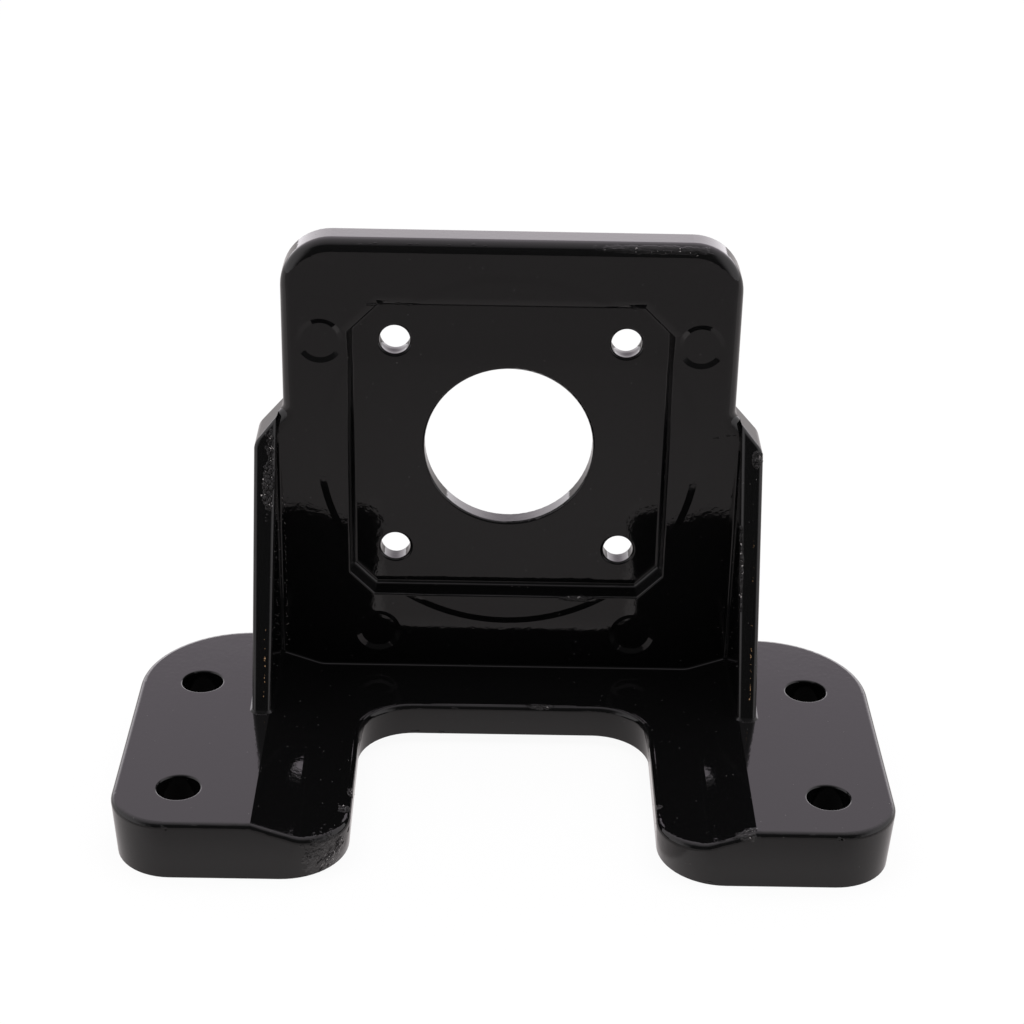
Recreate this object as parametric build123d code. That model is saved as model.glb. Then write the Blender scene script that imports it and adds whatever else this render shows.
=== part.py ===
"""Motor mounting bracket: one die casting, an upright motor plate on a two-footed base.

Frame: X across the bracket, +Y away from the motor, +Z up. The origin is the middle
of the base's outline, on the surface that the feet stand on. Millimetres.
"""
import os
from math import atan2, cos, degrees, radians, sin, tan

from build123d import *

# Motor interface
motor_body = 42.3  # square body of the motor
motor_fit = 0.1  # clearance of the recess over the body, all told
motor_pitch = 31.0  # spacing of the motor's four screws, both ways
motor_boss = 22.0  # turned boss that centres the motor
boss_clearance = 1.0
motor_screw = 3.0
screw_clearance = 1.1
motor_axis_height = 39.0  # above the mounting surface

# Upright plate
plate_side_margin = 9.3  # from the recess's side walls to the plate's sides, at the recess's floor
plate_top_margin = 9.1  # and from its top wall to the plate's top edge
plate_thickness = 5.4
plate_corner = 6.8  # radius of the two top corners
plate_edge = 1.8  # rounding of the front edge
plate_back_edge = 0.5

# Recess that locates the motor, and the faced ring round it
recess_depth = 2.6
recess_chamfer = 3.8  # leg of each upper cut corner, at the floor
recess_chamfer_low = 3.1  # and of each lower one
recess_draft = 8.5  # degrees that the walls lean out
recess_edge = 0.5  # rounding along the recess's floor
recess_mouth_edge = 0.3
face_ring_margin = 4.8  # from the recess's walls to the ring's edge, at the recess's floor
face_ring_height = 0.15
face_ring_slope = 1.0  # run of its conical edge

# Side gussets
shoulder_height = 45.1  # where the plate's sides start to widen
shoulder_angle = 48.5  # degrees below level
shoulder_round = 2.5
gusset_offset = 0.7  # from the plate's side out to the gusset's inner face
gusset_thickness = 3.1  # at the plate
gusset_draft = 0.9  # degrees that each side face leans in towards the front
gusset_reach = 16.9  # foot of the gusset in front of the plate
gusset_height = 36.5  # rise of its front edge above the pads
gusset_edge = 0.7

# Base
pad_width = 15.8  # from each gusset to the base's side
base_depth = 49.0
base_thickness = 8.0
base_draft = 0.55  # taper of each side wall, from top to bottom
base_edge = 0.75  # rounding of the upper edge
rear_corner = 14.5
front_corner = 7.5
toe_corner = 5.0  # inner front corner of each foot, at the top
toe_corner_low = 8.4  # and at the bottom
notch_width = 38.6
notch_corner = 6.5  # inner rear corner of each foot, at the top
notch_corner_low = 7.8  # and at the bottom
web_depth = 16.35  # from the back face to the notch
web_relief = 1.5  # the web stands clear of the mounting surface

# Sunk floor between the gussets
floor_drop = 2.05
floor_margin = 1.5  # level floor outside the rounded inner corner of each foot
floor_crease = 4.0  # rounding where the floor turns up to the pads
pad_overhang = 0.5  # each pad starts this far outside its gusset's inner face
corner_fillet = 0.3  # inside corners of the upright
foot_bead = 0.3  # bevelled bead where a gusset meets its pad
foot_bead_corner = 1.1

# Base screws
foot_screw = 5.0
foot_screw_clearance = 0.5
foot_hole_side = 8.5  # hole centre to the base's side
foot_hole_front = 8.4  # front hole's centre to the base's front
foot_hole_pitch = 26.35  # front hole to rear hole
front_rim = 0.4  # rounding of the motor holes' front mouths
top_rim = 0.3  # rounding of the foot holes' upper mouths
far_rim = 0.25  # rounding of the mouths on the far side

# Marks that the mould's ejector pins left
pin_mark = 6.3  # diameter
pin_mark_wall = 0.7  # run of its sloping wall
pin_mark_depth = 0.25
faint_mark_depth = 0.06  # of the marks in the top corners and on the web
corner_mark = 5.2  # centre to the plate's top and side
upper_mark = 14.0  # centre to the plate's top
lower_mark = 17.8  # centre to the middle plane, on the plate's foot and on the web
mark_rise = 5.55  # centre above the trough, and behind the notch

# Worked out from the above
recess_width = motor_body + motor_fit
plate_width = recess_width + 2 * plate_side_margin
plate_height = motor_axis_height + recess_width / 2 + plate_top_margin
floor_width = notch_width + 2 * (toe_corner + floor_margin)
back = base_depth / 2
front = -base_depth / 2
plate_front = back - plate_thickness
recess_floor = plate_front + recess_depth
floor_level = base_thickness - floor_drop
gusset_inner = plate_width / 2 + gusset_offset
gusset_outer = gusset_inner + gusset_thickness
gusset_front = plate_front - gusset_reach
base_width = 2 * (gusset_outer + pad_width)
notch_back = back - web_depth
foot_hole_x = base_width / 2 - foot_hole_side
foot_hole_rows = (front + foot_hole_front, front + foot_hole_front + foot_hole_pitch)
root = web_relief + (floor_level - web_relief) / 2  # level inside the web where uprights start
beyond = 1.0  # overrun of the cutting tools


def rounded(sketch, corners, radius):
    """Rounds the sketch's vertices that lie nearest to the given corners."""
    chosen = [sketch.vertices().sort_by_distance(Vector(*corner))[0] for corner in corners]
    return fillet(chosen, radius)


def both_sides(x, y):
    """A point and its mirror image across the bracket's middle plane."""
    return [(-x, y), (x, y)]


def base_outline(inset, toe_radius, notch_radius):
    """Plan of the base, with its side walls drawn in by the inset."""
    half_width = base_width / 2 - inset
    half_notch = notch_width / 2 + inset
    notch_length = notch_back - front
    outline = Rectangle(2 * half_width, base_depth)
    outline -= Pos(0, front + notch_length / 2) * Rectangle(2 * half_notch, notch_length)
    outline = rounded(outline, both_sides(half_width, back), rear_corner)
    outline = rounded(outline, both_sides(half_width, front), front_corner)
    outline = rounded(outline, both_sides(half_notch, front), toe_radius)
    return rounded(outline, both_sides(half_notch, notch_back), notch_radius)


def floor_cutter():
    """Trough between the gussets: flat in the middle, with sides that ramp up to the pads."""
    flat, brink, top = floor_width / 2, gusset_inner + pad_overhang, base_thickness + beyond
    rise = (brink - flat) * beyond / floor_drop
    profile = make_face(
        Polyline(
            (-flat, floor_level), (flat, floor_level), (brink + rise, top), (-brink - rise, top),
            close=True,
        )
    )
    profile = rounded(profile, both_sides(flat, floor_level), floor_crease)
    return extrude(Plane.XZ.offset(-back - beyond) * profile, base_depth + 2 * beyond)


def base():
    """Two feet joined by a web, with the trough and the web's relief cut away."""
    low = base_outline(base_draft, toe_corner_low, notch_corner_low)
    high = base_outline(0, toe_corner, notch_corner)
    body = loft([low, Pos(0, 0, base_thickness) * high], ruled=True)
    body -= floor_cutter()
    body = fillet([edge for edge in body.edges() if is_upper_rim(edge)], base_edge)
    return body - web_relief_cutter()


def web_relief_cutter():
    """Tool that raises the web's underside, out to where the notch's rounded corners end."""
    width = notch_width + 2 * base_draft
    length = beyond + web_depth + notch_corner_low
    footprint = Pos(0, back + beyond) * Rectangle(width, length, align=(Align.CENTER, Align.MAX))
    return extrude(footprint, web_relief, taper=degrees(atan2(base_draft, base_thickness)))


def is_upper_rim(edge):
    """Whether the edge belongs to the rim between the base's upper faces and its walls."""
    middle = edge.center()
    along_trough = edge.bounding_box().size.Y > base_depth / 2 and abs(middle.X) < gusset_inner + beyond
    in_trough = along_trough and abs(middle.X) > notch_width / 2 + base_draft
    return edge.bounding_box().min.Z > floor_level - floor_drop / 2 and not in_trough


def upright_outline():
    """Front view of the plate and of the gussets' shoulders."""
    half, wide = plate_width / 2, gusset_outer
    shoulder_low = shoulder_height - (wide - half) * tan(radians(shoulder_angle))
    side = [(half, plate_height), (half, shoulder_height), (wide, shoulder_low), (wide, root)]
    mirrored = [(-x, z) for x, z in reversed(side)]
    outline = make_face(Polyline(*side, *mirrored, close=True))
    outline = rounded(outline, both_sides(half, plate_height), plate_corner)
    outline = rounded(outline, both_sides(half, shoulder_height), shoulder_round / 2)
    return rounded(outline, both_sides(wide, shoulder_low), shoulder_round)


def plate():
    """Upright plate with soft front edges, before the recess and the holes."""
    outline = Plane.XZ.offset(-back) * upright_outline()
    body = extrude(outline, plate_thickness)
    body = fillet(body.faces().sort_by(Axis.Y)[0].edges(), plate_edge)
    return fillet(body.faces().sort_by(Axis.Y)[-1].edges(), plate_back_edge)


def gusset_plan(margin, rear):
    """Plan of the right gusset, which narrows towards the front, grown all round by the margin."""
    slant = tan(radians(gusset_draft))
    inner, outer, foot = gusset_inner - margin, gusset_outer + margin, gusset_front - margin
    lean = slant * (plate_front - foot)
    inner_side = [(inner - slant * (rear - plate_front), rear), (inner + lean, foot)]
    outer_side = [(outer - lean, foot), (outer, plate_front), (outer, rear)]
    return make_face(Polyline(*inner_side, *outer_side, close=True))


def gusset_profile():
    """Prism across the bracket with a gusset's triangular side view, and a root in the plate."""
    middle = plate_front + plate_thickness / 2
    top = base_thickness + gusset_height
    slope = [(gusset_front, root), (gusset_front, base_thickness), (plate_front, top)]
    side_view = make_face(Polyline(*slope, (middle, top), (middle, root), close=True))
    return extrude(Plane.YZ * side_view, base_width / 2, both=True)


def gusset():
    """The right gusset, whose top follows the shoulder, with the bead round its foot."""
    body = extrude(Pos(0, 0, root) * gusset_plan(0, back), plate_height)
    body &= gusset_profile()
    body &= extrude(Plane.XZ.offset(-back) * upright_outline(), base_depth)
    slope = max(body.faces(), key=lambda face: min(face.normal_at().Z, -face.normal_at().Y))
    foot = slope.edges().sort_by(Axis.Z)[0]
    body = fillet([edge for edge in slope.edges() if edge != foot], gusset_edge)
    return body + bead() + inside_corner()


def bead():
    """Bevelled bead round the foot of the right gusset."""
    footprint = gusset_plan(foot_bead, back - base_edge)
    toes = [(gusset_inner, gusset_front), (gusset_outer, gusset_front)]
    footprint = rounded(footprint, toes, foot_bead_corner)
    footprint = Pos(0, 0, base_thickness) * footprint
    return extrude(footprint, foot_bead, taper=45) + extrude(footprint, -foot_bead)


def inside_corner():
    """Strip that rounds the inside corner between the plate and the right gusset."""
    draft = radians(gusset_draft)
    reach = corner_fillet * (1 - sin(draft)) / cos(draft)
    middle = (gusset_inner - reach, plate_front - corner_fillet)
    on_plate = (gusset_inner - reach, plate_front)
    on_gusset = (gusset_inner + reach * sin(draft), plate_front - reach * cos(draft))
    strip = make_face(Polyline((gusset_inner, plate_front), on_plate, middle, on_gusset, close=True))
    strip -= Pos(*middle) * Circle(corner_fillet)
    return extrude(Pos(0, 0, root) * strip, gusset_height) & gusset_profile()


def face_ring_body():
    """Faced ring that stands proud of the plate round the recess, with a conical edge."""
    radius = recess_width / 2 + face_ring_margin
    ring = Cone(radius, radius - face_ring_slope, face_ring_height)
    return Pos(0, plate_front - face_ring_height / 2, motor_axis_height) * Rot(90, 0, 0) * ring


def recess_cutter():
    """Square pocket with cut corners and leaning walls, which takes the motor's body."""
    outline = Rectangle(recess_width, recess_width)
    outline = chamfer(outline.vertices().group_by(Axis.Y)[-1], recess_chamfer)
    outline = chamfer(outline.vertices().group_by(Axis.Y)[0], recess_chamfer_low)
    seat = Plane.XZ.offset(-recess_floor) * Pos(0, motor_axis_height) * outline
    cutter = extrude(seat, recess_depth + face_ring_height + beyond, taper=-recess_draft)
    return fillet(cutter.faces().sort_by(Axis.Y)[-1].edges(), recess_edge)


def through_hole(radius, near_round, far_round, length):
    """Tool along +Z for a through hole, centred on its length, with a rounded mouth at each end."""
    half, end = length / 2, length / 2 + beyond
    near, far = radius + near_round, radius + far_round
    outline = [
        Polyline((0, -end), (near, -end), (near, -half)),
        CenterArc((near, near_round - half), near_round, 180, 90),
        Line((radius, near_round - half), (radius, half - far_round)),
        CenterArc((far, half - far_round), far_round, 90, 90),
        Polyline((far, half), (far, end), (0, end), (0, -end)),
    ]
    return revolve(Plane.XZ * make_face(outline), Axis.Z)


def motor_holes():
    """Tools for the pilot bore and for the four screw holes, through the recess's floor."""
    length = plate_thickness - recess_depth
    bore = through_hole((motor_boss + boss_clearance) / 2, front_rim, far_rim, length)
    screw = through_hole((motor_screw + screw_clearance) / 2, front_rim, far_rim, length)
    screws = [place * screw for place in GridLocations(motor_pitch, motor_pitch, 2, 2)]
    middle = Pos(0, recess_floor + length / 2, motor_axis_height) * Rot(-90, 0, 0)
    return [middle * tool for tool in [bore, *screws]]


def foot_holes():
    """Tools for the two screw holes in each foot."""
    tool = through_hole((foot_screw + foot_screw_clearance) / 2, far_rim, top_rim, base_thickness)
    places = [(x, y) for x in (-foot_hole_x, foot_hole_x) for y in foot_hole_rows]
    return [Pos(x, y, base_thickness / 2) * tool for x, y in places]


def pin_mark_tool(depth):
    """Tool along +Z for a mark of the given depth, centred on the face that it sinks into."""
    return Cone(pin_mark / 2 + pin_mark_wall, pin_mark / 2 - pin_mark_wall, 2 * depth)


def pin_marks():
    """Tools for the shallow round marks on the plate's face and on the web."""
    deep, faint = pin_mark_tool(pin_mark_depth), pin_mark_tool(faint_mark_depth)
    corner_x = plate_width / 2 - corner_mark
    top_corners = both_sides(corner_x, plate_height - corner_mark)
    beside_seat = both_sides(corner_x, plate_height - upper_mark)
    above_trough = both_sides(lower_mark, floor_level + mark_rise)
    on_web = both_sides(lower_mark, notch_back + mark_rise)
    into_plate = Rot(-90, 0, 0)
    tools = [Pos(x, plate_front, z) * into_plate * faint for x, z in top_corners]
    tools += [Pos(x, plate_front, z) * into_plate * deep for x, z in beside_seat + above_trough]
    return tools + [Pos(x, y, floor_level) * Rot(180, 0, 0) * faint for x, y in on_web]


def trough_corner(body):
    """Edges where the trough's floor and ramps meet the plate's face."""
    return [
        edge
        for edge in body.edges()
        if edge.bounding_box().size.Y < recess_edge / 2
        and abs(edge.center().Y - plate_front) < recess_edge / 2
        and edge.bounding_box().max.Z < base_thickness + foot_bead
        and abs(edge.center().X) < gusset_inner
    ]


def recess_mouth(body):
    """Edges where the recess's leaning walls open on the ring and on the plate."""
    lean = sin(radians(recess_draft))
    reach = recess_width / 2 + recess_depth * tan(radians(recess_draft)) + recess_edge
    walls = [
        face
        for face in body.faces()
        if plate_front - face_ring_height < face.center().Y < recess_floor
        and abs(face.center().X) < reach
        and abs(face.center().Z - motor_axis_height) < reach
        and abs(face.normal_at().Y + lean) < lean / 2
    ]
    middle = recess_floor - recess_depth / 2
    return [edge for face in walls for edge in face.edges() if edge.bounding_box().max.Y < middle]


def motor_bracket():
    """The whole casting."""
    body = base() + plate()
    body = fillet(trough_corner(body), corner_fillet)
    right = gusset()
    body += right
    body += mirror(right, about=Plane.YZ)
    body += face_ring_body()
    body -= recess_cutter()
    body = fillet(recess_mouth(body), recess_mouth_edge)
    for tool in motor_holes() + foot_holes() + pin_marks():
        body -= tool
    return body


if __name__ == "__main__":
    os.makedirs("parts", exist_ok=True)
    export_step(motor_bracket(), "parts/motor_bracket.step")
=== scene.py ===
"""Dresses the motor mounting bracket: gloss black paint over a rough casting, and the studio round it."""

import logging
import math
import random
from dataclasses import dataclass, field
from enum import Enum
from typing import Any, Iterator, Sequence, Union

import bmesh
import bpy
from mathutils import Matrix, Vector, noise
from mathutils.bvhtree import BVHTree


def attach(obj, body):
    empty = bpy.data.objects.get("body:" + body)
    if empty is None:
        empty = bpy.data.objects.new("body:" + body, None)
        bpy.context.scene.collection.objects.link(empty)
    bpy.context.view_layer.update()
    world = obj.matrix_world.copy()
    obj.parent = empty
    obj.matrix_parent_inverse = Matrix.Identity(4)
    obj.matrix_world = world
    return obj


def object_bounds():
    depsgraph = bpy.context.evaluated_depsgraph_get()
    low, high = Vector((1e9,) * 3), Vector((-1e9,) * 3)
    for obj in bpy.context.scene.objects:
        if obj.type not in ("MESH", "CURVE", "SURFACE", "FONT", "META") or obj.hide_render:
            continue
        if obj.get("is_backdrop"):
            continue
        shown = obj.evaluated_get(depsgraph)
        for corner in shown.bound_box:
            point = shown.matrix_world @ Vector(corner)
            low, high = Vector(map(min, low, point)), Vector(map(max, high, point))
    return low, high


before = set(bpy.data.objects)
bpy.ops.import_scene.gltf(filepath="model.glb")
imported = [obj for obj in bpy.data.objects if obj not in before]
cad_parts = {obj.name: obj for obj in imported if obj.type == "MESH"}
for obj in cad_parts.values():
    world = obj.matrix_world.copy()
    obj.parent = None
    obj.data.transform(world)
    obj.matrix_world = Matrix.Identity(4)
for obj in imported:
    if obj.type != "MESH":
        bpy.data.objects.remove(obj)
CAD_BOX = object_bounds()

logging.basicConfig(level=logging.INFO, format="%(message)s")
log = logging.getLogger("bracket")

MM = 0.001
Colour = tuple[float, float, float]
Triple = tuple[float, float, float]
Span = tuple[float, float]
Number = Union[float, "Sock"]

CORNER_STREAK: Triple = (0.46, 0.42, 0.78)


class Ray(Enum):
    """Kinds of ray that the studio's surfaces tell apart."""

    CAMERA = "Is Camera Ray"
    GLOSSY = "Is Glossy Ray"
    TRANSMISSION = "Is Transmission Ray"


class Finish(Enum):
    """What the casting and the marks on it show, by the name of the material."""

    PAINT = "black_paint"
    # Pale grey specks whose colour paints glints of light.
    PAINTED_GLINT = "glint"
    # Warm specks of bare metal whose pale colour also paints glints of light on them.
    BARE_METAL_AND_GLINT = "bare_metal"
    DUST = "dust"


class Sock:
    """One output socket of a node tree, for writing shader maths as expressions."""

    def __init__(self, tree: "Tree", socket: bpy.types.NodeSocket | None) -> None:
        """Wraps the socket.

        Args:
            tree: the tree that new nodes go into.
            socket: the output that this stands for, None for a node without one.
        """
        self.tree = tree
        self.socket = socket

    def _math(self, operation: str, *others: Number) -> "Sock":
        """Adds a Math node whose inputs are this socket and the others."""
        return self.tree.node("ShaderNodeMath", {"operation": operation}, dict(enumerate((self, *others))))

    def __add__(self, other: Number) -> "Sock":
        """This plus the other."""
        return self._math("ADD", other)

    __radd__ = __add__

    def __sub__(self, other: Number) -> "Sock":
        """This minus the other."""
        return self._math("SUBTRACT", other)

    def __rsub__(self, other: Number) -> "Sock":
        """The other minus this."""
        return self.tree.node("ShaderNodeMath", {"operation": "SUBTRACT"}, {0: other, 1: self})

    def __mul__(self, other: Number) -> "Sock":
        """This times the other."""
        return self._math("MULTIPLY", other)

    __rmul__ = __mul__

    def __neg__(self) -> "Sock":
        """This with its sign turned."""
        return self._math("MULTIPLY", -1.0)

    def __abs__(self) -> "Sock":
        """This without its sign."""
        return self._math("ABSOLUTE")

    def __or__(self, other: Number) -> "Sock":
        """The larger of this and the other."""
        return self._math("MAXIMUM", other)

    def __and__(self, other: Number) -> "Sock":
        """The smaller of this and the other."""
        return self._math("MINIMUM", other)

    def angle(self, across: "Sock") -> "Sock":
        """Angle of the point (across, this) from the first axis, in radians."""
        return self._math("ARCTAN2", across)

    def smooth(self, low: float, high: float) -> "Sock":
        """Rises smoothly from 0 where this is low to 1 where it is high.

        Args:
            low: value that gives 0.
            high: value that gives 1, which may be the smaller one.

        Returns:
            The mask.
        """
        if low > high:
            return 1 - self.smooth(high, low)
        settings = {"interpolation_type": "SMOOTHSTEP"}
        return self.tree.node(
            "ShaderNodeMapRange", settings, {"Value": self, "From Min": low, "From Max": high}
        )


class Tree:
    """A material's or the world's node tree, emptied and ready to fill."""

    def __init__(self, owner: bpy.types.Material | bpy.types.World) -> None:
        """Empties the owner's tree.

        Args:
            owner: the material or world.
        """
        owner.use_nodes = True
        self.nodes = owner.node_tree.nodes
        self.links = owner.node_tree.links
        self.nodes.clear()

    def node(
        self,
        kind: str,
        settings: dict[str, Any] | None = None,
        inputs: dict[int | str, Any] | None = None,
        output: int | str = 0,
    ) -> Sock:
        """Adds a node.

        Args:
            kind: the node's type.
            settings: its properties, set first; "stops" gives a ramp's places and colours.
            inputs: values or links of its sockets, by name or place.
            output: which of its outputs to return.

        Returns:
            That output.
        """
        made = self.nodes.new(kind)
        for name, value in (settings or {}).items():
            if name == "stops":
                self._fill_ramp(made.color_ramp, value)
            else:
                setattr(made, name, value)
        for name, value in (inputs or {}).items():
            if isinstance(value, Sock):
                self.links.new(value.socket, made.inputs[name])
            else:
                made.inputs[name].default_value = value
        return Sock(self, made.outputs[output] if len(made.outputs) else None)

    @staticmethod
    def _fill_ramp(ramp: bpy.types.ColorRamp, stops: Sequence[tuple[float, Colour]]) -> None:
        """Gives a colour ramp its stops.

        Args:
            ramp: the ramp, still with the stops that it starts with.
            stops: the place and colour of each stop, in order.
        """
        while len(ramp.elements) > 1:
            ramp.elements.remove(ramp.elements[-1])
        for i, (place, colour) in enumerate(stops):
            element = ramp.elements[0] if i == 0 else ramp.elements.new(place)
            element.position = place
            element.color = (*colour, 1.0)

    def ray(self, *kinds: Ray) -> Sock:
        """Tells kinds of ray apart.

        Args:
            kinds: the kinds to pick.

        Returns:
            A mask that is 1 for rays of those kinds.
        """
        first, *others = (self.node("ShaderNodeLightPath", output=kind.value) for kind in kinds)
        for other in others:
            first = first | other
        return first

    def axes(self, coordinates: str = "Object") -> tuple[Sock, Sock, Sock]:
        """Splits texture coordinates.

        Args:
            coordinates: the name of the output that gives them.

        Returns:
            Their three parts.
        """
        vector = self.node("ShaderNodeTexCoord", output=coordinates)
        split = self.node("ShaderNodeSeparateXYZ", inputs={0: vector})
        x, y, z = (Sock(self, part) for part in split.socket.node.outputs)
        return x, y, z

    def vector(self, operation: str, *values: Any, output: str = "Vector") -> Sock:
        """Adds a Vector Math node with the given inputs."""
        return self.node("ShaderNodeVectorMath", {"operation": operation}, dict(enumerate(values)), output)

    def blend(self, factor: Sock, colour: Sock | Colour, other: Sock | Colour) -> Sock:
        """Mixes two colours, either of which may be a link.

        Args:
            factor: 0 for the first, 1 for the second.
            colour: the first.
            other: the second.

        Returns:
            The mix.
        """
        colours = [c if isinstance(c, Sock) else (*c, 1.0) for c in (colour, other)]
        inputs = {"Factor": factor, 6: colours[0], 7: colours[1]}
        return self.node("ShaderNodeMix", {"data_type": "RGBA"}, inputs, 2)

    def noise(self, size: float, detail: float, rough: float = 0.5) -> Sock:
        """Noise from 0 to 1, in step with the object.

        Args:
            size: size of its largest features, in metres.
            detail: number of finer layers.
            rough: strength of each finer layer against the one before.

        Returns:
            The noise's value.
        """
        place = self.node("ShaderNodeTexCoord", output="Object")
        values = {"Vector": place, "Scale": 1 / size, "Detail": detail, "Roughness": rough}
        return self.node("ShaderNodeTexNoise", {"noise_dimensions": "3D"}, values)


@dataclass(frozen=True)
class Patch:
    """Ragged spot where the casting's skin was torn or left rough under the paint, in millimetres."""

    middle: Triple
    reach: Triple
    strength: float = 1.0
    solid_share: float = 0.75

    def mask(self, tree: Tree, fray: Sock) -> Sock:
        """Covers the patch.

        Args:
            tree: the paint's tree.
            fray: how far the patch's border strays, as a share of its reach.

        Returns:
            The strength inside the patch, and 0 outside it.
        """
        place = tree.node("ShaderNodeTexCoord", output="Object")
        offset = tree.vector("SUBTRACT", place, Vector(self.middle) * MM)
        away = tree.vector("LENGTH", tree.vector("DIVIDE", offset, Vector(self.reach) * MM), output="Value")
        return (away + fray).smooth(1.0, self.solid_share) * self.strength


@dataclass(frozen=True)
class Lip:
    """Roll of paint where the plate's face turns into the motor's seat, along the seat's top.

    It sets in over one span up the seat's sides, and over the other from the plate's back to its front.
    """

    seat_middle: float = 39.0 * MM
    seat_reach: float = 21.6 * MM
    seat_corner: float = 39.15 * MM
    width: float = 1.25 * MM
    drop: float = 0.34 * MM
    height_span: Span = (51.0 * MM, 56.0 * MM)
    depth_span: Span = (23.9 * MM, 22.3 * MM)

    def sag(self, x: Sock, y: Sock, z: Sock) -> Sock:
        """Works out how far the paint sags.

        Args:
            x: place across the bracket.
            y: place from its front to its back.
            z: height.

        Returns:
            The sag: nothing on the face, the whole drop in the seat, and nothing on the plate's back.
        """
        rise = z - self.seat_middle
        corner = (abs(x) + rise - self.seat_corner) * math.sqrt(0.5)
        outside = (rise - self.seat_reach) | (abs(x) - self.seat_reach) | corner
        roll = ((self.width - outside) * (1 / self.width) | 0.0) & 1.0
        return roll * roll * (z.smooth(*self.height_span) * y.smooth(*self.depth_span) * self.drop)


@dataclass(frozen=True)
class GlossPaint:
    """Thick black gloss paint, with the orange peel of a cheap spray job and rough patches beneath."""

    colour: Colour = (0.0028, 0.0028, 0.0029)
    torn_colour: Colour = (0.014, 0.0135, 0.0135)
    roughness: float = 0.045
    torn_roughness: float = 0.17
    ior: float = 1.5
    wave_size: float = 3.2 * MM
    wave_height: float = 0.006 * MM
    peel_size: float = 0.65 * MM
    peel_height: float = 0.008 * MM
    grain_size: float = 0.5 * MM
    grain_height: float = 0.2 * MM
    fray_size: float = 0.8 * MM
    fray_reach: float = 1.4
    wall_draft: float = 0.012
    lip: Lip = Lip()
    patches: tuple[Patch, ...] = (
        # The left foot: its inner front corner, and two spots on the edge of the notch.
        Patch((-22.2, -22.8, 2.5), (3.2, 3.2, 3.4)),
        Patch((-20.4, -17.3, 5.9), (0.8, 0.9, 0.8)),
        Patch((-19.8, -13.2, 5.6), (0.5, 1.1, 0.8)),
        # The right foot: the edge of the notch, and the front edge beside the pad.
        Patch((19.9, -15.7, 5.8), (0.5, 0.5, 0.5)),
        Patch((30.6, -23.8, 7.4), (1.5, 1.0, 0.9)),
        # The front edges of the two gussets.
        Patch((-32.3, 14.9, 35.6), (0.75, 2.4, 4.2)),
        Patch((-32.0, 17.2, 40.6), (0.4, 1.6, 2.8), strength=0.6),
        Patch((33.4, 17.0, 40.0), (0.6, 0.9, 1.4)),
        Patch((31.6, 10.9, 26.5), (0.3, 2.6, 5.6)),
        # The back of the notch, the foot of the seat and the plate's top edge.
        Patch((5.0, 8.6, 5.9), (1.8, 0.5, 0.5)),
        Patch((9.7, 19.0, 17.2), (2.3, 0.5, 0.5)),
        Patch((19.0, 19.6, 68.7), (8.5, 0.8, 0.6), strength=0.5),
    )

    def material(self) -> bpy.types.Material:
        """Makes the paint.

        Returns:
            The material.
        """
        paint = bpy.data.materials.new(Finish.PAINT.value)
        tree = Tree(paint)
        torn = self._torn(tree)
        shader = tree.node(
            "ShaderNodeBsdfPrincipled",
            {},
            {
                "Base Color": tree.blend(torn, self.colour, self.torn_colour),
                "Roughness": torn * (self.torn_roughness - self.roughness) + self.roughness,
                "IOR": self.ior,
                "Normal": self._relief(tree, torn),
            },
        )
        tree.node("ShaderNodeOutputMaterial", {}, {"Surface": shader})
        return paint

    def _relief(self, tree: Tree, torn: Sock) -> Sock:
        """Builds the paint's relief.

        Args:
            tree: the paint's tree.
            torn: where the surface is torn.

        Returns:
            The surface's facing: waves and peel everywhere, grain where it is torn, the draft and the lip.
        """
        x, y, z = tree.axes()
        wave = tree.noise(self.wave_size, detail=1.0) * self.wave_height
        peel = tree.noise(self.peel_size, detail=2.0, rough=0.6) * self.peel_height
        grain = tree.noise(self.grain_size, detail=3.0, rough=0.55) * self.grain_height
        height = wave + peel + z * self.wall_draft + grain * torn - self.lip.sag(x, y, z)
        return tree.node("ShaderNodeBump", {}, {"Strength": 1.0, "Distance": 1.0, "Height": height})

    def _torn(self, tree: Tree) -> Sock:
        """Joins all the patches.

        Args:
            tree: the paint's tree.

        Returns:
            A mask that is 1 where the surface is fully torn.
        """
        stray = tree.noise(self.fray_size, detail=3.0, rough=0.6)
        fray = stray * self.fray_reach - self.fray_reach / 2
        first, *others = (patch.mask(tree, fray) for patch in self.patches)
        for mask in others:
            first = first | mask
        return first


@dataclass(frozen=True)
class Grit:
    """Plain finish of grains on the paint: dust, pale grey specks that paint glints of light, and bare metal
    that the paint doesn't hide, whose warm colour also paints glints.
    """

    finish: Finish
    colour: Colour
    roughness: float

    def material(self) -> bpy.types.Material:
        """Makes the finish.

        Returns:
            The material.
        """
        grit = bpy.data.materials.new(self.finish.value)
        tree = Tree(grit)
        values = {"Base Color": (*self.colour, 1.0), "Roughness": self.roughness}
        shader = tree.node("ShaderNodeBsdfPrincipled", {}, values)
        tree.node("ShaderNodeOutputMaterial", {}, {"Surface": shader})
        return grit


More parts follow.
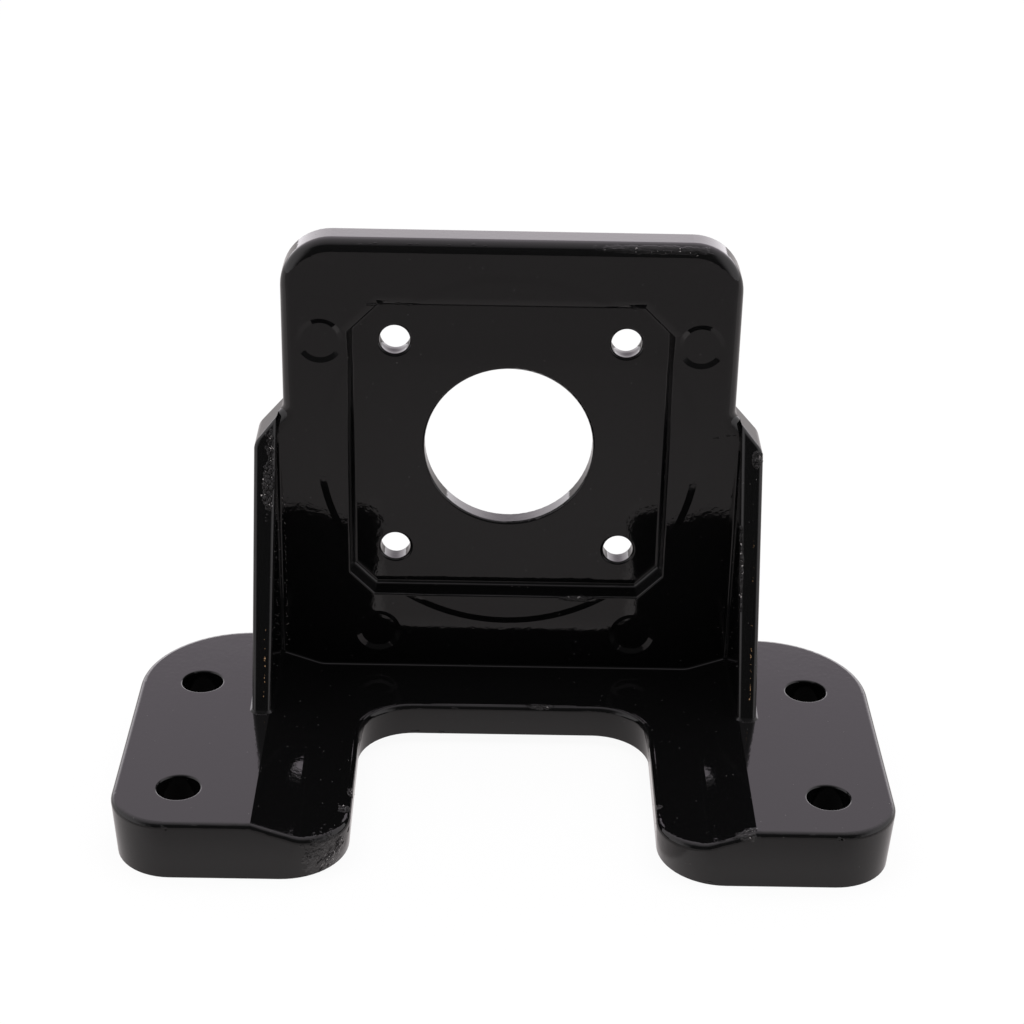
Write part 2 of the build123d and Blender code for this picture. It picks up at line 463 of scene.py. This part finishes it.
class Skin:
    """The casting's surface, on which small pieces are set."""

    def __init__(self, body: bpy.types.Object) -> None:
        """Reads the surface.

        Args:
            body: the casting.
        """
        place = body.matrix_world
        self.corners = [place @ vertex.co for vertex in body.data.vertices]
        self.faces = [tuple(face.vertices) for face in body.data.polygons]
        self.areas = [face.area for face in body.data.polygons]
        self.tree = BVHTree.FromPolygons(self.corners, self.faces)

    def nearest(self, place: Vector) -> tuple[Vector, Vector]:
        """Finds the surface near a place.

        Args:
            place: any point close to the casting.

        Returns:
            The nearest point of the surface, and the way that the surface faces there.
        """
        spot, facing, _, _ = self.tree.find_nearest(place)
        return spot, facing

    def scatter(self, count: int, chance: random.Random, lowest: float) -> Iterator[tuple[Vector, Vector]]:
        """Picks points spread evenly over the surface, apart from its underside.

        Args:
            count: how many to try.
            chance: source of the random numbers.
            lowest: least upward part of the way that a point's surface faces.

        Yields:
            Each point, and the way that the surface faces there.
        """
        for face in chance.choices(self.faces, weights=self.areas, k=count):
            a, b, c = (self.corners[i] for i in face[:3])
            u, v = sorted((chance.random(), chance.random()))
            facing = (b - a).cross(c - a).normalized()
            if facing.z > lowest:
                yield a * u + b * (v - u) + c * (1 - v), facing


@dataclass(frozen=True)
class Run:
    """Lumps strewn along a line over the casting's skin, in millimetres.

    A lump is size long to each side, stretch times narrower and height times as high as it is wide. It
    lies along the line, or along the way that is given, and strays from the line by about the spread.
    """

    start: Triple
    end: Triple
    count: int
    size: Span
    spread: float = 0.1
    stretch: float = 1.3
    height: float = 0.5
    along: Triple | None = None


@dataclass(frozen=True)
class Marks:
    """Runs of lumps that share one finish and make one piece."""

    name: str
    finish: Finish
    seed: int
    runs: tuple[Run, ...]


@dataclass
class Lumps:
    """One mesh of small lumps, each sunk half-way into the casting."""

    name: str
    finish: bpy.types.Material
    seed: int
    fineness: int = 2
    ruggedness: float = 0.45
    ripple: float = 1.6
    far_off: float = 100.0
    least_lie: float = 0.1
    shape: bmesh.types.BMesh = field(default_factory=bmesh.new)
    chance: random.Random = field(init=False)

    def __post_init__(self) -> None:
        """Starts the lumps' own row of random numbers."""
        self.chance = random.Random(self.seed)

    def add(self, spot: Vector, facing: Vector, along: Vector, half: Vector) -> None:
        """Adds one lump, kept inside the casting's own box.

        Args:
            spot: its middle, on the surface.
            facing: the way that the surface faces.
            along: the way that the lump is longest.
            half: half its length, width and height.
        """
        length = along - facing * along.dot(facing)
        if length.length <= self.least_lie * along.length:
            length = facing.orthogonal()
        length = length.normalized()
        turn = Matrix((length, facing.cross(length), facing)).transposed()
        shift = Vector(self.chance.random() for _ in range(3)) * self.far_off
        made = bmesh.ops.create_icosphere(self.shape, subdivisions=self.fineness, radius=1.0)
        for vertex in made["verts"]:
            swell = 1 + self.ruggedness * noise.noise(vertex.co * self.ripple + shift)
            place = spot + turn @ (vertex.co * swell * half)
            vertex.co = Vector(min(max(part, low), high) for part, low, high in zip(place, *CAD_BOX))

    def strew(self, skin: Skin, run: Run) -> None:
        """Adds a run of lumps.

        Args:
            skin: the surface that they sit on.
            run: where they lie.
        """
        start, end = Vector(run.start) * MM, Vector(run.end) * MM
        along = Vector(run.along) if run.along else end - start
        for _ in range(run.count):
            stray = Vector(self.chance.gauss(0, run.spread * MM) for _ in range(3))
            spot, facing = skin.nearest(start.lerp(end, self.chance.random()) + stray)
            half = self.chance.uniform(*run.size) * MM
            across = half / run.stretch
            self.add(spot, facing, along, Vector((half, across, across * run.height)))

    def finish_off(self) -> bpy.types.Object:
        """Turns the lumps into a piece that goes with the casting.

        Returns:
            The piece.
        """
        for face in self.shape.faces:
            face.smooth = True
        mesh = bpy.data.meshes.new(self.name)
        self.shape.to_mesh(mesh)
        self.shape.free()
        mesh.materials.append(self.finish)
        piece = bpy.data.objects.new(self.name, mesh)
        bpy.context.scene.collection.objects.link(piece)
        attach(piece, "root")
        log.info("%s: %d faces", self.name, len(mesh.polygons))
        return piece


@dataclass
class Casting:
    """The bracket itself, which keeps its own shape and gets its paint, torn spots, dust, and pale specks
    that paint glints of light.
    """

    node: str = "motor_bracket"
    paint: GlossPaint = GlossPaint()
    grits: tuple[Grit, ...] = (
        # Pale grey that paints glints of light on small specks.
        Grit(Finish.PAINTED_GLINT, (0.55, 0.52, 0.51), 0.4),
        # Warm bare metal, pale enough that it also paints glints of light.
        Grit(Finish.BARE_METAL_AND_GLINT, (0.75, 0.45, 0.22), 0.4),
        Grit(Finish.DUST, (0.28, 0.27, 0.27), 0.6),
    )
    speck_count: int = 800
    speck_size: Span = (0.015, 0.05)
    speck_seed: int = 11
    scatter_seed: int = 13
    scatter_lowest: float = -0.5
    marks: tuple[Marks, ...] = (
        Marks("torn_corners", Finish.PAINT, 3, (
            # Streaks and crumbs on the left foot's inner front corner.
            Run(
                (-22.8, -23.2, 0.7), (-20.3, -20.2, 4.6), 26, (0.25, 0.6),
                spread=0.5, stretch=3.0, along=CORNER_STREAK,
            ),
            Run(
                (-25.0, -24.0, 5.3), (-22.6, -23.4, 2.0), 16, (0.2, 0.5),
                spread=0.6, stretch=1.5, height=0.3,
            ),
            # The edges of the notch.
            Run(
                (-20.8, -17.0, 5.9), (-20.1, -17.6, 5.9), 16, (0.15, 0.4),
                spread=0.3, stretch=1.6, height=0.9,
            ),
            Run((-19.7, -12.8, 5.7), (-19.6, -14.4, 5.5), 7, (0.1, 0.25)),
            Run((19.9, -15.5, 5.8), (19.8, -16.0, 5.8), 3, (0.1, 0.2)),
            # The right foot's front edge, where the ramp meets the pad.
            Run((30.0, -23.2, 7.5), (31.3, -24.3, 7.3), 12, (0.12, 0.35), spread=0.25),
            Run((27.0, -23.9, 6.3), (29.8, -24.1, 7.2), 6, (0.4, 0.8), spread=0.03, stretch=8.0),
        )),
        Marks("torn_gussets", Finish.PAINT, 5, (
            # Down the left gusset's front edge, from its top.
            Run((-32.2, 18.0, 41.9), (-32.2, 13.1, 31.6), 50, (0.1, 0.26), spread=0.2),
            Run(
                (-32.4, 16.2, 38.2), (-32.2, 13.9, 33.4), 30, (0.2, 0.45),
                spread=0.28, stretch=1.2, height=0.8,
            ),
            # The right gusset's top, and its edge further down.
            Run(
                (33.7, 17.4, 40.9), (33.7, 16.6, 39.2), 14, (0.15, 0.4),
                spread=0.2, stretch=1.2, height=0.9,
            ),
            Run((31.5, 13.4, 31.7), (31.7, 8.6, 21.5), 44, (0.12, 0.34), spread=0.08, height=0.9),
        )),
        Marks("nicks", Finish.PAINT, 7, (
            # The back of the notch, along its upper edge and low on its wall.
            Run((3.4, 8.4, 5.9), (6.4, 8.4, 5.9), 9, (0.15, 0.4), spread=0.15),
            Run((-7.0, 8.2, 5.5), (-6.6, 8.2, 5.5), 3, (0.1, 0.25)),
            Run((-12.7, 8.1, 1.7), (-11.6, 8.1, 1.8), 4, (0.12, 0.3)),
            Run((-9.0, 8.2, 1.7), (-7.2, 8.2, 1.7), 4, (0.12, 0.3)),
            # The lower edge of the seat.
            Run((7.6, 19.0, 17.3), (11.8, 19.0, 17.3), 10, (0.2, 0.5), spread=0.08, stretch=2.0),
            # The plate's top edge.
            Run((12.0, 19.5, 68.7), (26.5, 19.6, 68.4), 24, (0.2, 0.8), spread=0.15, stretch=6.0),
            Run((-20.0, 19.7, 68.8), (0.0, 19.7, 68.8), 9, (0.15, 0.4), spread=0.12, stretch=3.0),
            # The upper edge of the seat.
            Run(
                (-18.8, 19.1, 60.6), (-13.2, 19.1, 60.6), 13, (0.2, 0.55),
                spread=0.05, stretch=3.0, height=0.8,
            ),
            Run((15.0, 19.1, 60.6), (17.8, 19.1, 60.6), 7, (0.2, 0.5), spread=0.05, stretch=3.0, height=0.8),
            # Two dashes on the face, inside the right shoulder.
            Run((27.4, 19.1, 42.1), (28.5, 19.1, 42.2), 4, (0.15, 0.4), spread=0.04, stretch=3.0),
            Run((29.4, 19.1, 42.5), (30.4, 19.1, 42.6), 4, (0.15, 0.4), spread=0.04, stretch=3.0),
            # The fronts of the feet, high on both and low on the right.
            Run((41.8, -24.4, 7.5), (42.4, -24.4, 7.2), 3, (0.12, 0.3)),
            Run((-42.5, -24.4, 7.5), (-42.1, -24.4, 7.2), 3, (0.12, 0.3)),
            Run((25.4, -24.3, 0.4), (26.9, -24.3, 0.3), 5, (0.15, 0.4), spread=0.05, stretch=3.0),
        )),
        # Pale specks whose colour paints glints of light, along the torn edges, the inside corner and the
        # top edges.
        Marks("painted_glints", Finish.PAINTED_GLINT, 17, (
            # The torn edges of the gussets.
            Run((-32.3, 16.2, 38.2), (-32.1, 13.9, 33.4), 34, (0.04, 0.12), spread=0.3),
            Run((-32.0, 17.9, 41.8), (-32.0, 16.3, 38.4), 12, (0.03, 0.08), spread=0.2),
            Run((33.8, 17.3, 40.8), (33.8, 16.6, 39.2), 12, (0.04, 0.1), spread=0.2),
            Run((31.5, 13.4, 31.7), (31.7, 8.6, 21.5), 30, (0.03, 0.1), spread=0.1),
            # The torn corners of the feet.
            Run(
                (-22.4, -23.0, 0.8), (-20.4, -20.6, 4.0), 40, (0.05, 0.14),
                spread=0.4, stretch=3.0, along=CORNER_STREAK,
            ),
            Run((-20.8, -17.0, 5.9), (-20.1, -17.6, 5.9), 10, (0.04, 0.1), spread=0.25),
            Run((-19.7, -12.8, 5.7), (-19.6, -14.4, 5.5), 6, (0.03, 0.08)),
            Run((30.2, -23.4, 7.4), (31.3, -24.2, 7.3), 10, (0.04, 0.1), spread=0.25),
            # The inside corner between the left gusset and the plate.
            Run((-30.6, 19.1, 33.0), (-30.6, 19.1, 9.0), 60, (0.02, 0.045), spread=0.12),
            # The plate's top edge, the back of the notch and the lower edge of the seat.
            Run((12.0, 19.5, 68.7), (26.5, 19.6, 68.4), 16, (0.04, 0.1), spread=0.15, stretch=3.0),
            Run((4.0, 8.4, 5.9), (6.2, 8.4, 5.9), 8, (0.03, 0.08), spread=0.1),
            Run((8.6, 19.0, 17.3), (11.0, 19.0, 17.3), 10, (0.04, 0.12), spread=0.08, stretch=2.0),
        )),
        # Warm specks of bare metal on the gusset fronts, whose pale colour also paints their glints of
        # light.
        Marks("bare_specks_and_glints", Finish.BARE_METAL_AND_GLINT, 19, (
            # Low on the front edges of the two gussets, and a few higher on the right one.
            Run((-32.4, 6.8, 18.2), (-32.4, 2.9, 9.6), 16, (0.03, 0.08), spread=0.06, stretch=1.6),
            Run((33.1, 6.3, 16.9), (33.1, 3.4, 10.6), 22, (0.03, 0.09), spread=0.05, stretch=2.0),
            Run((33.2, 13.0, 31.3), (33.2, 7.5, 19.5), 7, (0.02, 0.04), spread=0.08, stretch=1.0),
        )),
    )

    def dress(self) -> None:
        """Paints the casting and adds what marks its skin."""
        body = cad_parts[self.node]
        coat = self.paint.material()
        finishes = {Finish.PAINT: coat} | {grit.finish: grit.material() for grit in self.grits}
        body.data.materials.clear()
        body.data.materials.append(coat)
        log.info("%s: %d faces, painted", self.node, len(body.data.polygons))
        skin = Skin(body)
        for marks in self.marks:
            lumps = Lumps(marks.name, finishes[marks.finish], marks.seed)
            for run in marks.runs:
                lumps.strew(skin, run)
            lumps.finish_off()
        self._add_specks(skin, finishes[Finish.DUST])

    def _add_specks(self, skin: Skin, dust: bpy.types.Material) -> None:
        """Strews dust evenly over the casting.

        Args:
            skin: the casting's surface.
            dust: the specks' finish.
        """
        specks = Lumps("specks", dust, self.speck_seed, fineness=1, ruggedness=0.2)
        chance = random.Random(self.scatter_seed)
        for spot, facing in skin.scatter(self.speck_count, chance, self.scatter_lowest):
            half = chance.uniform(*self.speck_size) * MM
            specks.add(spot, facing, facing.orthogonal(), Vector((half, half, half)))
        specks.finish_off()


@dataclass
class Studio:
    """Pale floor and soft surround that the gloss reflects."""

    floor_size: float = 3.0
    floor_colour: Colour = (0.9, 0.9, 0.9)
    # Tones of the floor's glow in the gloss, which paint the studio's light on the floor: palest by the
    # feet, darker further off.
    far_tone: Colour = (0.32, 0.295, 0.295)
    floor_tone: Colour = (0.40, 0.37, 0.37)
    near_tone: Colour = (0.66, 0.62, 0.62)
    near_span: Span = (14 * MM, 2 * MM)
    far_reach: float = 90 * MM
    notch_side: float = 19.3 * MM
    notch_blur: float = 2 * MM
    notch_back: float = 8.15 * MM
    shadow_share: float = 0.06
    room_sweep: tuple[tuple[float, Colour], ...] = (
        (0.0, (0.06, 0.06, 0.06)),
        (0.31, (0.07, 0.07, 0.07)),
        (0.35, (0.38, 0.36, 0.38)),
        (0.50, (0.85, 0.80, 0.84)),
        (0.75, (1.35, 1.24, 1.34)),
        (0.83, (1.10, 0.99, 1.10)),
        (0.88, (2.2, 2.06, 2.18)),
        (1.0, (2.6, 2.5, 2.6)),
    )
    side_tone: Colour = (1.0, 0.97, 0.99)
    side_span: Span = (0.45, 0.9)
    lamp_place: Triple = (0.0, 0.05, 0.75)
    lamp_size: Span = (0.9, 0.6)
    lamp_power: float = 4.0

    def surround(self) -> None:
        """Sets the world: a dark room in front, soft light overhead and a bright backdrop behind."""
        world = bpy.data.worlds.new("surround")
        bpy.context.scene.world = world
        tree = Tree(world)
        x, y, z = tree.axes("Generated")
        turn = abs(z).angle(-y) * (1 / math.pi)
        sweep = tree.node("ShaderNodeValToRGB", {"stops": self.room_sweep}, {0: turn})
        room = tree.blend(abs(x).smooth(*self.side_span), sweep, self.side_tone)
        seen = tree.blend(tree.ray(Ray.CAMERA), room, (1.0, 1.0, 1.0))
        background = tree.node("ShaderNodeBackground", {}, {"Color": seen, "Strength": 1.0})
        tree.node("ShaderNodeOutputWorld", {}, {"Surface": background})
        log.info("surround: %d stops from front to back", len(self.room_sweep))

    def floor(self) -> None:
        """Lays the floor, white to the camera apart from the object's shadow."""
        shape = bmesh.new()
        bmesh.ops.create_grid(shape, x_segments=1, y_segments=1, size=self.floor_size / 2)
        mesh = bpy.data.meshes.new("floor")
        shape.to_mesh(mesh)
        shape.free()
        ground = bpy.data.objects.new("floor", mesh)
        bpy.context.scene.collection.objects.link(ground)
        mesh.materials.append(self._floor_finish())
        ground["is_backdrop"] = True
        log.info("floor: %.1f m square", self.floor_size)

    def _floor_finish(self) -> bpy.types.Material:
        """Makes the floor's finish: white as seen, and in the gloss a glow that paints light on the floor,
        paler near the feet and darker further off.

        Returns:
            The material.
        """
        finish = bpy.data.materials.new("floor_white")
        tree = Tree(finish)
        x, y, _ = tree.axes()
        front = CAD_BOX[0].y
        beside = abs(x).smooth(self.notch_side - self.notch_blur, self.notch_side + self.notch_blur)
        ahead = beside * (front - self.notch_back) + self.notch_back - y
        # Painted light on the floor: its glow darkens away from the feet and is palest close to them.
        tone = tree.blend((front - y).smooth(0.0, self.far_reach), self.floor_tone, self.far_tone)
        tone = tree.blend(ahead.smooth(*self.near_span), tone, self.near_tone)
        shown = tree.blend(tree.ray(Ray.CAMERA), tone, (1.0, 1.0, 1.0))
        glow = tree.node("ShaderNodeEmission", {}, {"Color": shown, "Strength": 1.0})
        matt = tree.node("ShaderNodeBsdfDiffuse", {}, {"Color": (*self.floor_colour, 1.0)})
        share = tree.ray(Ray.CAMERA, Ray.GLOSSY, Ray.TRANSMISSION) * (1 - self.shadow_share)
        surface = tree.node("ShaderNodeMixShader", {}, {0: share, 1: matt, 2: glow})
        tree.node("ShaderNodeOutputMaterial", {}, {"Surface": surface})
        return finish

    def lamp(self) -> None:
        """Hangs one large soft lamp over the object."""
        data = bpy.data.lights.new("overhead", "AREA")
        data.shape = "RECTANGLE"
        data.size, data.size_y = self.lamp_size
        data.energy = self.lamp_power
        lamp = bpy.data.objects.new("overhead", data)
        lamp.location = self.lamp_place
        lamp.visible_glossy = False
        bpy.context.scene.collection.objects.link(lamp)
        log.info("overhead: %.1f W", self.lamp_power)

    def build(self) -> None:
        """Sets up the whole studio."""
        self.surround()
        self.floor()
        self.lamp()
        bpy.context.scene.view_settings.view_transform = "Standard"


@dataclass
class ViewPoint:
    """Camera that looks down on the bracket's front."""

    place: Triple = (-2.22 * MM, -268.3 * MM, 175.2 * MM)
    lens: float = 82.56
    sensor: float = 36.0
    clip: Span = (0.01, 10.0)
    turn: float = 0.00987
    dip: float = 0.46654
    lean: float = 0.0212

    def aim(self) -> Matrix:
        """Works out which way the camera looks.

        Returns:
            The camera's rotation, as a matrix.
        """
        level = Vector((math.sin(self.turn), math.cos(self.turn), 0.0))
        across = Vector((math.cos(self.turn), -math.sin(self.turn), 0.0))
        up = Vector((0.0, 0.0, 1.0))
        ahead = level * math.cos(self.dip) - up * math.sin(self.dip)
        top = up * math.cos(self.dip) + level * math.sin(self.dip)
        right = across * math.cos(self.lean) + top * math.sin(self.lean)
        crown = top * math.cos(self.lean) - across * math.sin(self.lean)
        return Matrix((right, crown, -ahead)).transposed().to_4x4()

    def build(self) -> None:
        """Adds the camera and makes it the scene's own."""
        data = bpy.data.cameras.new("camera")
        data.sensor_width = self.sensor
        data.lens = self.lens
        data.clip_start, data.clip_end = self.clip
        camera = bpy.data.objects.new("camera", data)
        camera.matrix_world = Matrix.Translation(self.place) @ self.aim()
        bpy.context.scene.collection.objects.link(camera)
        bpy.context.scene.camera = camera
        log.info("camera: %.2f mm lens", self.lens)


def write_sizes() -> None:
    """Lays the CAD model's box and the dressed model's box side by side as plain lists; nothing is written
    out.
    """
    boxes = {"cad": CAD_BOX, "visual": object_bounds()}
    plain = {name: [list(corner) for corner in box] for name, box in boxes.items()}


def main() -> None:
    """Builds the dressed bracket and the studio."""
    Casting().dress()
    Studio().build()
    ViewPoint().build()
    write_sizes()


if __name__ == "__main__":
    main()
